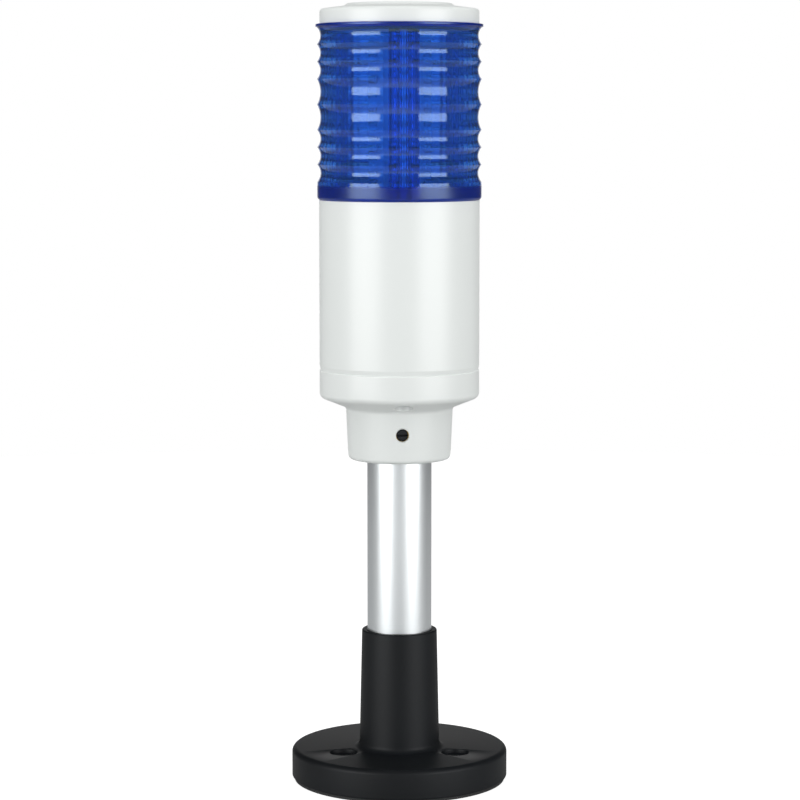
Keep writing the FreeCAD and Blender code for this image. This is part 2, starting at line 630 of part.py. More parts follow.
def link_header():
    """Plastic strip that spaces the link pins between the two round boards."""
    width = HEADER_PINS * HEADER_PITCH
    strip = block(width, HEADER_DEPTH, driver_top_z, shelf_top_z, 0, header_y)
    holes = [cylinder(PIN_R, driver_top_z - PAST, shelf_top_z + PAST, x, header_y) for x in pin_places()]
    return turned(strip.cut(holes), HEAD_TURN)


def link_pins():
    """Pins that join the driver board to the light core's board."""
    z0 = driver_z - PIN_TAIL
    z1 = core_z + PIN_TAIL
    pins = [turned(cylinder(PIN_R, z0, z1, x, header_y), HEAD_TURN) for x in pin_places()]
    return Part.makeCompound(pins)


def board_screws():
    """Three screws up into the posts through the driver board, and three down from above."""
    lower = screw_up(BOARD_SCREW_R, BOARD_SCREW_HEAD_R, BOARD_SCREW_HEAD_H, driver_z,
                     driver_z + BOARD_SCREW_LENGTH)
    upper = flipped(lower, (driver_z + core_z) / 2)
    screws = board_posts(lower) + board_posts(upper)
    return Part.makeCompound([turned(screw, HEAD_TURN) for screw in screws])


# --- Light core -----------------------------------------------------------------------------------
def core_board():
    """Round board on the shelf, which carries the light core."""
    screw_hole = cylinder(HOLDER_SCREW_R + 2 * SLIP, shelf_top_z - PAST, core_z + PAST)
    return turned(round_board(shelf_top_z).cut(screw_hole), HEAD_TURN)


def core_prism(flat_r, z0, z1):
    """Upright prism whose flats are flat_r from the axis, one of them facing the front."""
    corner_r = flat_r / math.cos(math.pi / CORE_SIDES)
    points = []
    for side in range(CORE_SIDES + 1):
        x, y = polar(corner_r, 360.0 * (side + 0.5) / CORE_SIDES)
        points.append(FreeCAD.Vector(x, y, z0))
    return Part.Face(Part.makePolygon(points)).extrude(FreeCAD.Vector(0, 0, z1 - z0))


def core_holder():
    """White hollow prism with a top plate that caps the strip boards."""
    shell = core_prism(CORE_FLAT_R, core_z, core_top_z - CORE_PLATE)
    hollow = core_prism(CORE_FLAT_R - CORE_WALL, core_z + CORE_FOOT, core_top_z - CORE_PLATE)
    plate = core_prism(strip_face_r + STRIP_LIP, core_top_z - CORE_PLATE, core_top_z)
    pilot = cylinder(HOLDER_SCREW_R + THREAD_SLIP, core_z - PAST, core_z + CORE_FOOT + PAST)
    return turned(shell.cut([hollow, pilot]).fuse(plate).removeSplitter(), HEAD_TURN)


def holder_screw():
    """Screw from below that holds the light core on its board."""
    screw = screw_up(HOLDER_SCREW_R, BOARD_SCREW_HEAD_R + 0.4, BOARD_SCREW_HEAD_H,
                     shelf_top_z, shelf_top_z + HOLDER_SCREW_LENGTH)
    return turned(screw, HEAD_TURN)


def strip_turn(side):
    """Degrees from the front to a strip board's face."""
    return HEAD_TURN + 360.0 * side / CORE_SIDES


def strip_board(side):
    """One upright board against a flat of the holder."""
    y = -(CORE_FLAT_R + STRIP_T / 2)
    return turned(block(STRIP_WIDTH, STRIP_T, core_z, core_z + strip_h, 0, y), strip_turn(side))


def diode_places():
    """Heights of the diodes on a strip."""
    first = core_z + DIODE_MARGIN
    pitch = (strip_h - 2 * DIODE_MARGIN) / (DIODES - 1)
    return [first + pitch * index for index in range(DIODES)]


def diodes(side):
    """The diodes of one strip: a square body under a clear dome, cast in one."""
    front_y = -(strip_face_r + DIODE_T)
    row = []
    for z in diode_places():
        body = Part.makeBox(DIODE_WIDTH, DIODE_T, DIODE_WIDTH,
                            FreeCAD.Vector(-DIODE_WIDTH / 2, front_y, z - DIODE_WIDTH / 2))
        dome = Part.makeSphere(DIODE_DOME_R, FreeCAD.Vector(0, front_y, z))
        room = Part.makeBox(4 * DIODE_WIDTH, DIODE_WIDTH, 4 * DIODE_WIDTH,
                            FreeCAD.Vector(-2 * DIODE_WIDTH, front_y, z - 2 * DIODE_WIDTH))
        row.append(turned(body.fuse(dome.cut(room)), strip_turn(side)))
    return Part.makeCompound(row)


def strip_resistors():
    """One chip resistor near the foot of each strip."""
    z0 = core_z + RESISTOR_Z - RESISTOR_H / 2
    chip = block(RESISTOR_WIDTH, RESISTOR_T, z0, z0 + RESISTOR_H, 0, -(strip_face_r + RESISTOR_T / 2))
    return Part.makeCompound([turned(chip, strip_turn(side)) for side in range(CORE_SIDES)])


# --- Lens -----------------------------------------------------------------------------------------
def lens_skin():
    """Solid of revolution with the lens's outside: plain band, scallops and top flange."""
    z = lens_z + LENS_BAND
    start = FreeCAD.Vector(0, 0, lens_z)
    corner = FreeCAD.Vector(LENS_R, 0, lens_z)
    edges = [Part.LineSegment(start, corner).toShape()]
    edges.append(Part.LineSegment(corner, FreeCAD.Vector(LENS_R, 0, z)).toShape())
    for height in SCALLOPS:
        lower = FreeCAD.Vector(LENS_R, 0, z)
        valley = FreeCAD.Vector(LENS_R - LENS_VALLEY, 0, z + height / 2)
        upper = FreeCAD.Vector(LENS_R, 0, z + height)
        edges.append(Part.Arc(lower, valley, upper).toShape())
        z += height
    rim = [(LENS_R, z), (LENS_FLANGE_R, z), (LENS_FLANGE_R, cap_z), (0, cap_z), (0, lens_z)]
    for (r0, z0), (r1, z1) in zip(rim, rim[1:]):
        edges.append(Part.LineSegment(FreeCAD.Vector(r0, 0, z0), FreeCAD.Vector(r1, 0, z1)).toShape())
    face = Part.Face(Part.Wire(Part.__sortEdges__(edges)))
    return face.revolve(FreeCAD.Vector(0, 0, 0), FreeCAD.Vector(0, 0, 1), 360)


def fluted_bore(z0, z1):
    """The lens's bore: a ring of shallow round flutes that meet in ridges at LENS_BORE_R."""
    edges = []
    for index in range(FLUTES):
        x0, y0 = polar(LENS_BORE_R, 360.0 * index / FLUTES)
        xm, ym = polar(LENS_BORE_R + FLUTE_DEPTH, 360.0 * (index + 0.5) / FLUTES)
        x1, y1 = polar(LENS_BORE_R, 360.0 * (index + 1) / FLUTES)
        arc = Part.Arc(FreeCAD.Vector(x0, y0, z0), FreeCAD.Vector(xm, ym, z0), FreeCAD.Vector(x1, y1, z0))
        edges.append(arc.toShape())
    return Part.Face(Part.Wire(edges)).extrude(FreeCAD.Vector(0, 0, z1 - z0))


def lens():
    """Blue transparent moulding with its tie-screw columns inside."""
    z0 = lens_z - TONGUE
    z1 = cap_z + PAST
    flutes = fluted_bore(lens_z + FLUTE_MARGIN, cap_z - lap_h - FLUTE_MARGIN)
    bore = flutes.fuse(cylinder(LENS_BORE_R - BORE_STEP, z0 - PAST, z1)).cut(columns(z0 - PAST, z1))
    cuts = [bore, lap_recess(cap_z)] + tie_holes(TIE_HOLE_R, z0 - PAST, z1)
    foot = cylinder(LAP_R - SLIP / 2, z0, lens_z)
    return turned(lens_skin().fuse(foot).cut(cuts), HEAD_TURN)


# --- Top cap --------------------------------------------------------------------------------------
def top_cap():
    """Shallow domed cap with a raised disc, a tongue into the lens and three nut bosses."""
    skin = revolved([
        (0, cap_z), (CAP_R, cap_z), (CAP_R, cap_z + CAP_RIM_H, CAP_EDGE),
        (CAP_SHOULDER_R, cap_z + CAP_SHOULDER_H, CAP_STEP_ROUND),
        (CAP_DISC_R, cap_z + CAP_DISC_H, CAP_STEP_ROUND), (0, cap_z + CAP_H)])
    inside_r = case_bore_r
    room = revolved([
        (0, cap_z - PAST), (inside_r, cap_z - PAST), (inside_r, cap_z + CAP_RIM_H - CAP_WALL),
        (CAP_SHOULDER_R, cap_z + CAP_SHOULDER_H - CAP_WALL), (0, cap_z + CAP_H - CAP_WALL)])
    bosses = columns(cap_z - TONGUE, cap_z + CAP_RIM_H - CAP_EDGE)
    pockets = tie_holes(NUT_R, cap_z - 2 * lap_h, nut_z + NUT_LENGTH)
    shell = skin.cut(room).fuse([tongue(cap_z, case_bore_r)] + bosses)
    return turned(shell.cut(pockets).removeSplitter(), HEAD_TURN)


def cap_nuts():
    """Brass inserts in the cap's bosses, which the tie screws pull down."""
    nut = tube(NUT_R, TIE_R + THREAD_SLIP, nut_z, nut_z + NUT_LENGTH)
    return Part.makeCompound(moved_ring(nut, TIE_CIRCLE_R, TIE_COUNT, HEAD_TURN))


def tie_screws():
    """Long screws from the bowl's recesses up to the cap, which clamp the cases and seals."""
    screw = screw_up(TIE_R, TIE_HEAD_R, TIE_HEAD_H, tie_seat_z, tie_tip_z)
    return Part.makeCompound(moved_ring(screw, TIE_CIRCLE_R, TIE_COUNT, HEAD_TURN))


def seal_at(z_joint):
    return turned(seal(z_joint), HEAD_TURN)


# --- All pieces, by node name ---------------------------------------------------------------------
def all_pieces():
    pieces = {
        "base_gasket": base_gasket(),
        "base_flange": base_flange(),
        "pole": pole(),
        "pole_screw": pole_screw(),
        "lower_housing": lower_housing(),
        "collar_insert": collar_insert(),
        "collar_set_screw": collar_set_screw(),
        "housing_seal": seal_at(seam_z),
        "body_housing": body_housing(),
        "driver_board": driver_board(),
        "terminal_block": terminal_block(),
        "terminal_screws": terminal_screws(),
        "smoothing_capacitor": smoothing_capacitor(),
        "film_capacitor": film_capacitor(),
        "choke": choke(),
        "rectifier": rectifier(),
        "link_header": link_header(),
        "link_pins": link_pins(),
        "board_screws": board_screws(),
        "core_board": core_board(),
        "core_holder": core_holder(),
        "holder_screw": holder_screw(),
        "strip_resistors": strip_resistors(),
        "lens_seal": seal_at(lens_z),
        "lens": lens(),
        "cap_seal": seal_at(cap_z),
        "cap_nuts": cap_nuts(),
        "top_cap": top_cap(),
        "tie_screws": tie_screws(),
    }
    for side in range(CORE_SIDES):
        pieces["strip_board_%d" % (side + 1)] = strip_board(side)
        pieces["diodes_%d" % (side + 1)] = diodes(side)
    return pieces


os.makedirs("parts", exist_ok=True)
for name, shape in all_pieces().items():
    shape.exportStep("parts/%s.step" % name)
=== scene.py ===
import json
import math

import bmesh
import bpy
import numpy as np
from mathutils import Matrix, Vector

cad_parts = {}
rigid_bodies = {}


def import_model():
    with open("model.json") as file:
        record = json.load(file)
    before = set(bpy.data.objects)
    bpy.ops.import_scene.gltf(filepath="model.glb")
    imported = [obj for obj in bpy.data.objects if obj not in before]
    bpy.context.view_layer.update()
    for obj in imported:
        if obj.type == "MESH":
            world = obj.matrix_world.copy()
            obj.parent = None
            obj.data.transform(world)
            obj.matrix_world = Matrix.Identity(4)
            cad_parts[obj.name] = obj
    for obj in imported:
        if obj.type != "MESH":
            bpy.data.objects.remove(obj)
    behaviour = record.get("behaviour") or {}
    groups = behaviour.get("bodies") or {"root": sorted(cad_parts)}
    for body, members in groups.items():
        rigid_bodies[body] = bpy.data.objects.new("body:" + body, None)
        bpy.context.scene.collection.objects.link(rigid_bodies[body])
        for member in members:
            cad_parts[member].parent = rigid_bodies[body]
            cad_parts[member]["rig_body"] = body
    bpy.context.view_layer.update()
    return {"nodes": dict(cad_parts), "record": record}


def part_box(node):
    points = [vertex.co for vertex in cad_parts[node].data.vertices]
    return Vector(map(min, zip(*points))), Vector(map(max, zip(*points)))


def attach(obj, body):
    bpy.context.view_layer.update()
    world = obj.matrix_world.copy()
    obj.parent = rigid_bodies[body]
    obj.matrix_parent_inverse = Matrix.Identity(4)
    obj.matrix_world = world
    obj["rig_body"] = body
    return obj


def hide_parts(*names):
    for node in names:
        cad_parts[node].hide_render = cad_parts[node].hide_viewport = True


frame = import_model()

# One-tier stack light: white moulded cases, a ribbed blue lens, an aluminium pole and a black base.
# Shapes are worked out in millimetres and put into the meshes in metres. The origin is the centre
# of the base's underside, +Z is up the pole, and -Y is the front, where the set screw is.

MM = 0.001

# --- Heights, read from the frame -----------------------------------------------------------------


def low(node):
    """Lowest corner of a node's box, in millimetres."""
    return np.array(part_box(node)[0]) / MM


def high(node):
    """Highest corner of a node's box, in millimetres."""
    return np.array(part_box(node)[1]) / MM


FLANGE_Z = low("base_flange")[2]
SOCKET_TOP_Z = high("base_flange")[2]
POLE_Z = low("pole")[2]
POLE_TOP_Z = high("pole")[2]
COLLAR_Z = low("lower_housing")[2]
SEAM_Z = high("lower_housing")[2]
LENS_Z = high("body_housing")[2]
CAP_Z = high("lens")[2]
TOP_Z = high("top_cap")[2]
SHELF_Z = low("core_board")[2]
POST_Z = high("driver_board")[2]
PIN_Z = (low("pole_screw")[2] + high("pole_screw")[2]) / 2
PIN_HEAD_Y = high("pole_screw")[1]     # how far the pole's screw reaches out at the back

# --- Sizes that the boxes don't give --------------------------------------------------------------

SLIP = 0.05                            # gap between parts that slide together
SHARP_EDGE = 0.2                       # rounding of the mouldings' sharp outer edges
INNER_ROUND = 0.5                      # rounding of corners inside the mouldings
PAST = 1.0                             # how far cutting tools reach past what they cut
DRILL = 3.0                            # how far below a joint the tie screws' holes start
THROUGH = 20.0                         # how far drills reach out from the axis, through the socket
HEAD_TURN = math.radians(3.5)          # how far the head stands turned on the pole
THIRD = 2 * math.pi / 3

BASE_R = 37.0
BASE_H = 10.2
BASE_TOP_ROUND = 1.8
BASE_FOOT_ROUND = 0.6
BASE_PLATE = 3.4                       # top plate over the hollow underside
BASE_RIM = 3.0                         # rim round the hollow
BASE_RIB = 1.8
BASE_RIBS = 6
SOCKET_R_TOP = 12.85
SOCKET_R_FOOT = 13.75
SOCKET_FILLET = 2.0
SOCKET_EDGE = 0.5
HOLE_CIRCLE_R = 22.0                   # mounting holes, their counterbores and the bosses round them
HOLE_R = 2.6
HOLE_SINK_R = 4.7
HOLE_SINK = 1.4
HOLE_EDGE = 0.3
HOLE_BOSS_WALL = 2.0
PIN_HOLE_R = 1.5                       # hole in the socket for the pole's screw
PIN_PILOT_R = 1.47                     # the screw's own hole in the pole
PIN_SINK_R = 2.85
PIN_HEAD_H = 2.0

POLE_R = 11.0
POLE_BORE_R = 9.75
POLE_CHAMFER = 0.3
LEAD_HOLE_R = 10.0

COLLAR_H = 17.8
COLLAR_R_MOUTH = 17.4
COLLAR_R_NECK = 18.2
COLLAR_BORE_R = 11.08
COLLAR_EDGE = 1.5
COLLAR_BORE_EDGE = 0.4
COLLAR_SLEEVE = 2.4                    # collar's wall round the pole
COLLAR_SKIN = 2.3                      # its outer wall
COLLAR_FLOOR = 2.6                     # wall at the mouth, under the hollow between the two
COLLAR_RIB = 1.8
COLLAR_RIBS = 6                        # the first one is the block round the set screw
NECK_ROUND = 1.6
SHOULDER = 2.5                         # wall over the pole's end
BOWL_RISE = 3.6
BOWL_CORNER = 2.2
BOWL_WALL = 2.4
SET_Z = 9.8                            # set screw above the collar's mouth
SET_R = 2.0
SET_LENGTH = 5.0
SET_HOLE_R = 2.2
SET_HOLE_EDGE = 0.4
SET_BLOCK = 9.0
SET_POINT = 0.7
SET_CHAMFER = 0.3
SET_TIP_GAP = 0.06
SET_SLOT = 0.8
SET_SLOT_DEPTH = 1.3

CASE_R = 27.15
CASE_BORE_R = 24.95
CASE_FOOT_ROUND = 0.8                  # rounding above the fall to the seam
CASE_TOP_EDGE = 0.15
LAP_R = 26.0                           # lap joints between bowl, round case, lens and cap
LAP_H = 2.0
TONGUE = 1.0
SEAM = 0.35
SEAM_FALL = 1.5                        # height over which the round case draws in towards the seam
TIE_CIRCLE_R = 22.3                    # tie screws, and the columns that they run in
COLUMN_R = 4.25
COLUMN_FOOT = 1.2                      # how far the bowl's columns start below the screw heads' seat
TIE_HOLE_R = 1.7
TIE_SINK_R = 3.1
TIE_HEAD_H = 2.0
TIE_SEAT_Z = low("tie_screws")[2] + TIE_HEAD_H
SHELF_T = 2.0
SHELF_HOLE_R = 7.0
POST_CIRCLE_R = 17.6                   # posts under the shelf that carry the boards
POST_R = 2.6
POST_PILOT_R = 1.22

LENS_R = 27.75
LENS_VALLEY = 1.1
LENS_BAND = 6.1
LENS_FOOT_ROUND = 1.2
LENS_FLANGE = 0.9
LENS_FLANGE_R = 28.2
SCALLOPS = (5.8,) * 3 + (8.5,) * 2 + (5.8,) * 3
FLUTES = 60
FLUTE_DEPTH = 0.05                     # drawn shallow, as deep ones break up what lies behind the lens
FLUTE_START = 2.4                      # the flutes begin this far above the case and below the cap's lap
FLUTE_FULL = 2.8                       # and have their full depth from this far on

CAP_R = 26.85
CAP_RIM_H = 5.0
CAP_EDGE = 1.1
CAP_SHOULDER_R = 18.6                  # inner end of the slope round the raised disc
CAP_SHOULDER_H = 6.1
CAP_DISC_R = 17.6
CAP_DISC_H = 6.9
CAP_STEP_ROUND = 0.35
CAP_WALL = 1.6
CAP_INNER_ROUND = 0.6
NUT_R = 2.3
NUT_LENGTH = 4.5


# --- Outlines and surfaces ------------------------------------------------------------------------

def outline(*corners, steps=7):
    """Points (radius, height) of an outline. A corner (radius, height, rounding) becomes an arc that
    touches both sides: its centre lies on the corner's bisector at rounding / sin(half the corner)."""
    runs = []
    for index, corner in enumerate(corners):
        spot = np.array(corner[:2], float)
        if len(corner) < 3:
            runs.append(spot[None])
            continue
        before = np.array(corners[index - 1][:2]) - spot
        after = np.array(corners[(index + 1) % len(corners)][:2]) - spot
        before /= np.linalg.norm(before)
        after /= np.linalg.norm(after)
        half = math.acos(before @ after) / 2
        middle = (before + after) / np.linalg.norm(before + after)
        centre = spot + middle * corner[2] / math.sin(half)
        first = spot + before * corner[2] / math.tan(half) - centre
        last = spot + after * corner[2] / math.tan(half) - centre
        start = math.atan2(first[1], first[0])
        sweep = (math.atan2(last[1], last[0]) - start + math.pi) % (2 * math.pi) - math.pi
        angle = start + sweep * np.linspace(0, 1, steps)
        runs.append(centre + corner[2] * np.stack([np.cos(angle), np.sin(angle)], 1))
    return np.concatenate(runs)


def quads(rows, columns, wrap_rows=True, wrap_columns=True):
    """Four-sided faces between neighbours of a grid of points, as an array of point numbers."""
    row = np.arange(rows if wrap_rows else rows - 1)[:, None]
    column = np.arange(columns if wrap_columns else columns - 1)[None]
    row_next, column_next = (row + 1) % rows, (column + 1) % columns
    corners = [row * columns + column, row_next * columns + column,
               row_next * columns + column_next, row * columns + column_next]
    return np.stack(np.broadcast_arrays(*corners), -1).reshape(-1, 4)


def lathe(profile, sides=288):
    """A closed outline carried round the pole's axis: (r sin a, -r cos a, z) for every angle a."""
    angle = np.linspace(0, 2 * math.pi, sides, endpoint=False)[:, None]
    radius, height = profile[None, :, 0], profile[None, :, 1]
    points = [radius * np.sin(angle), -radius * np.cos(angle), height + 0 * angle]
    return np.stack(points, -1).reshape(-1, 3), [quads(sides, len(profile))]


def rod(radius, z0, z1, sides=48):
    """A plain round bar on the axis."""
    return lathe(outline((0, z0), (radius, z0), (radius, z1), (0, z1)), sides)


def prism(loop, z0, z1):
    """A flat loop of points carried straight up from z0 to z1, closed by a face at each end."""
    count = len(loop)
    points = np.concatenate([np.column_stack([loop, np.full(count, z)]) for z in (z0, z1)])
    ends = np.stack([np.arange(count)[::-1], np.arange(count) + count])
    return points, [quads(2, count, wrap_rows=False), ends]


def bar(width, depth, z0, z1, x=0.0, y=0.0):
    """A rectangle carried up: the four combinations of its low and high sides."""
    side = np.array([[-1, -1], [1, -1], [1, 1], [-1, 1]]) / 2
    return prism(side * (width, depth) + (x, y), z0, z1)


def moved(shape, x=0.0, y=0.0, z=0.0):
    """The shape shifted along the axes."""
    return shape[0] + (x, y, z), shape[1]


def turned(shape, angle):
    """The shape turned about the pole's axis."""
    c, s = math.cos(angle), math.sin(angle)
    return shape[0] @ np.array([[c, s, 0], [-s, c, 0], [0, 0, 1]]), shape[1]


def laid_out(shape, z, angle=0.0):
    """A shape that stands on the origin, laid down to point away from the axis at height z."""
    x, y, up = shape[0].T
    return turned((np.stack([x, -up, y + z], 1), shape[1]), angle)


def together(*shapes):
    """Several shapes as one: their points in a row, and their faces numbered on."""
    starts = np.cumsum([0] + [len(points) for points, _ in shapes])
    faces = [group + start for (_, groups), start in zip(shapes, starts) for group in groups]
    return np.concatenate([points for points, _ in shapes]), faces


def thrice(shape, radius, start=0.0):
    """Three copies of a shape made on the axis, a third of a turn apart on a circle."""
    return together(*[turned(moved(shape, y=-radius), start + THIRD * step) for step in range(3)])


# --- Making pieces --------------------------------------------------------------------------------

def new_mesh(name, shape):
    """A mesh with the shape's points in metres, doubles merged and its faces pointing outwards."""
    mesh = bpy.data.meshes.new(name)
    faces = [face for group in shape[1] for face in group.tolist()]
    mesh.from_pydata((shape[0] * MM).tolist(), [], faces)
    work = bmesh.new()
    work.from_mesh(mesh)
    bmesh.ops.remove_doubles(work, verts=work.verts, dist=2e-7)
    bmesh.ops.recalc_face_normals(work, faces=work.faces)
    work.to_mesh(mesh)
    work.free()
    return mesh


def solid(name, shape):
    """A piece in the scene that is made of one shape."""
    made = bpy.data.objects.new(name, new_mesh(name, shape))
    bpy.context.scene.collection.objects.link(made)
    return made


def combine(piece, shape, operation):
    """Joins a shape to the piece, or takes it away, and keeps the result as the piece's mesh."""
    tool = solid("tool", shape)
    modifier = piece.modifiers.new(operation, "BOOLEAN")
    modifier.operation = operation
    modifier.solver = "MANIFOLD"
    modifier.object = tool
    graph = bpy.context.evaluated_depsgraph_get()
    result = bpy.data.meshes.new_from_object(piece.evaluated_get(graph))
    piece.modifiers.clear()
    old, used = piece.data, tool.data
    piece.data = result
    result.name = piece.name
    bpy.data.objects.remove(tool)
    bpy.data.meshes.remove(old)
    bpy.data.meshes.remove(used)


def weld(piece, *shapes):
    """Joins shapes to the piece, one after the other."""
    for shape in shapes:
        combine(piece, shape, "UNION")


def carve(piece, *shapes):
    """Takes shapes away from the piece, one after the other."""
    for shape in shapes:
        combine(piece, shape, "DIFFERENCE")


SLOT_OF = {part["node"]: part["material_slot"] for part in frame["record"]["subparts"]}


def fit(piece, node, material, crease=32):
    """Stands the finished piece in for its node: smooth shading, material and body."""
    mesh = piece.data
    mesh.shade_smooth()
    mesh.set_sharp_from_angle(angle=math.radians(crease))
    mesh.materials.clear()
    mesh.materials.append(material)
    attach(piece, frame["nodes"][node]["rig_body"])
    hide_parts(node)
    return piece


# --- The stand ------------------------------------------------------------------------------------

def base_piece(material):
    """Base disc and socket: an outline round the axis, hollow and ribbed beneath, with screw holes."""
    top = FLANGE_Z + BASE_H
    body = solid("base_moulding", lathe(outline(
        (LEAD_HOLE_R, FLANGE_Z), (BASE_R, FLANGE_Z, BASE_FOOT_ROUND), (BASE_R, top, BASE_TOP_ROUND),
        (SOCKET_R_FOOT, top, SOCKET_FILLET), (SOCKET_R_TOP, SOCKET_TOP_Z, SOCKET_EDGE),
        (POLE_R + SLIP, SOCKET_TOP_Z), (POLE_R + SLIP, POLE_Z), (LEAD_HOLE_R, POLE_Z), steps=10)))
    roof = top - BASE_PLATE
    under = FLANGE_Z - PAST
    carve(body, lathe(outline((SOCKET_R_FOOT, under), (BASE_R - BASE_RIM, under),
                              (BASE_R - BASE_RIM, roof, INNER_ROUND),
                              (SOCKET_R_FOOT, roof, INNER_ROUND))))
    reach = BASE_R - BASE_RIM - SOCKET_R_FOOT + PAST
    rib = bar(BASE_RIB, reach, FLANGE_Z, roof + PAST, y=-(SOCKET_R_FOOT - PAST / 2 + reach / 2))
    weld(body, *[turned(rib, math.pi / BASE_RIBS * (1 + 2 * step)) for step in range(BASE_RIBS)])
    weld(body, thrice(rod(HOLE_SINK_R + HOLE_BOSS_WALL, FLANGE_Z, roof + PAST), HOLE_CIRCLE_R, math.pi))
    # The counterbores' upper edge is broken over the last 0.3 mm, in two steps.
    sink = top - HOLE_SINK
    broken = HOLE_SINK_R + HOLE_EDGE
    carve(body, thrice(lathe(outline(
        (0, under), (HOLE_R, under), (HOLE_R, sink, 0.25), (HOLE_SINK_R, sink, SHARP_EDGE),
        (HOLE_SINK_R, top - HOLE_EDGE), (HOLE_SINK_R + 0.08, top - 0.1), (broken, top + 0.03),
        (broken, top + PAST), (0, top + PAST)), 64), HOLE_CIRCLE_R, math.pi))
    carve(body, laid_out(rod(PIN_HOLE_R, 0, THROUGH, 32), PIN_Z, math.pi),
          laid_out(rod(PIN_SINK_R, PIN_HEAD_Y - PIN_HEAD_H, THROUGH, 40), PIN_Z, math.pi))
    return fit(body, "base_flange", material)


def pole_piece(material):
    """Tube with small chamfers at both ends, carried round the axis."""
    c = POLE_CHAMFER
    body = solid("pole_tube", lathe(outline(
        (POLE_BORE_R + c, POLE_Z), (POLE_R - c, POLE_Z), (POLE_R, POLE_Z + c), (POLE_R, POLE_TOP_Z - c),
        (POLE_R - c, POLE_TOP_Z), (POLE_BORE_R + c, POLE_TOP_Z), (POLE_BORE_R, POLE_TOP_Z - c),
        (POLE_BORE_R, POLE_Z + c))))
    carve(body, laid_out(rod(PIN_PILOT_R, 0, THROUGH, 32), PIN_Z, math.pi))
    return fit(body, "pole", material)


# --- The head's cases -----------------------------------------------------------------------------

def columns(z0, z1):
    """The three tie-screw columns: half a round nose towards the axis, on a root as wide that runs out
    to the lap joint's radius. The loop is the nose's half circle, then an arc round the axis."""
    nose = np.linspace(0, math.pi, 33)[:, None]
    edge = math.asin(COLUMN_R / (LAP_R - SLIP / 2))
    back = np.linspace(-edge, edge, 13)[:, None]
    loop = np.concatenate([np.hstack([np.cos(nose), np.sin(nose)]) * COLUMN_R + (0, -TIE_CIRCLE_R),
                           np.hstack([np.sin(back), -np.cos(back)]) * (LAP_R - SLIP / 2)])
    return together(*[turned(prism(loop, z0, z1), HEAD_TURN + THIRD * step) for step in range(3)])


def tie_holes(radius, z0, z1):
    """Round holes on the three tie screws."""
    return thrice(rod(radius, z0, z1, 40), TIE_CIRCLE_R, HEAD_TURN)


def lower_piece(material):
    """Collar and bowl in one outline round the axis, with columns, screw recesses and the set hole."""
    neck = COLLAR_Z + COLLAR_H
    edge = neck + BOWL_RISE
    floor = POLE_TOP_Z + SHOULDER
    inside = neck + BOWL_WALL
    hollow = COLLAR_Z + COLLAR_FLOOR
    sleeve = COLLAR_BORE_R + COLLAR_SLEEVE
    skin = COLLAR_R_MOUTH - COLLAR_SKIN
    bore = CASE_R - BOWL_WALL
    body = solid("bowl_and_collar", lathe(outline(
        (COLLAR_BORE_R, COLLAR_Z, COLLAR_BORE_EDGE), (COLLAR_R_MOUTH, COLLAR_Z, COLLAR_EDGE),
        (COLLAR_R_NECK, neck, NECK_ROUND), (CASE_R, edge, BOWL_CORNER), (CASE_R, SEAM_Z - SEAM),
        (CASE_R - SEAM, SEAM_Z), (LAP_R + SLIP / 2, SEAM_Z), (LAP_R + SLIP / 2, SEAM_Z - LAP_H),
        (bore, SEAM_Z - LAP_H), (bore, edge + BOWL_WALL, BOWL_CORNER), (COLLAR_R_NECK, inside),
        (skin, inside), (skin, hollow), (sleeve, hollow), (sleeve, floor), (LEAD_HOLE_R, floor),
        (LEAD_HOLE_R, POLE_TOP_Z), (COLLAR_BORE_R, POLE_TOP_Z), steps=10)))
    # Ribs and block start inside the floor and both walls, which they melt into.
    foot = COLLAR_Z + 2
    across = skin - sleeve + PAST
    middle = -(skin + sleeve) / 2
    rib = bar(COLLAR_RIB, across, foot, inside, y=middle)
    block = bar(SET_BLOCK, across, foot, COLLAR_Z + 2 * SET_Z, y=middle)
    rib_turn = 2 * math.pi / COLLAR_RIBS
    weld(body, *[turned(rib, HEAD_TURN + rib_turn * step) for step in range(1, COLLAR_RIBS)])
    weld(body, turned(block, HEAD_TURN))
    weld(body, thrice(rod(COLUMN_R, TIE_SEAT_Z - COLUMN_FOOT, SEAM_Z - LAP_H), TIE_CIRCLE_R, HEAD_TURN))
    carve(body, tie_holes(TIE_HOLE_R, TIE_SEAT_Z - TIE_HEAD_H, SEAM_Z),
          tie_holes(TIE_SINK_R, neck - DRILL, TIE_SEAT_Z))
    # The set screw's hole opens out at the collar's skin, over about half a millimetre.
    start = COLLAR_BORE_R + 0.2
    mouth = COLLAR_R_MOUTH + 0.35
    wide = SET_HOLE_R + SET_HOLE_EDGE
    carve(body, laid_out(lathe(outline(
        (0, start), (SET_HOLE_R, start), (SET_HOLE_R, mouth - 0.35), (SET_HOLE_R + 0.1, mouth - 0.12),
        (wide, mouth + 0.12), (wide, mouth + 2), (0, mouth + 2)), 64), COLLAR_Z + SET_Z, HEAD_TURN))
    return fit(body, "lower_housing", material)


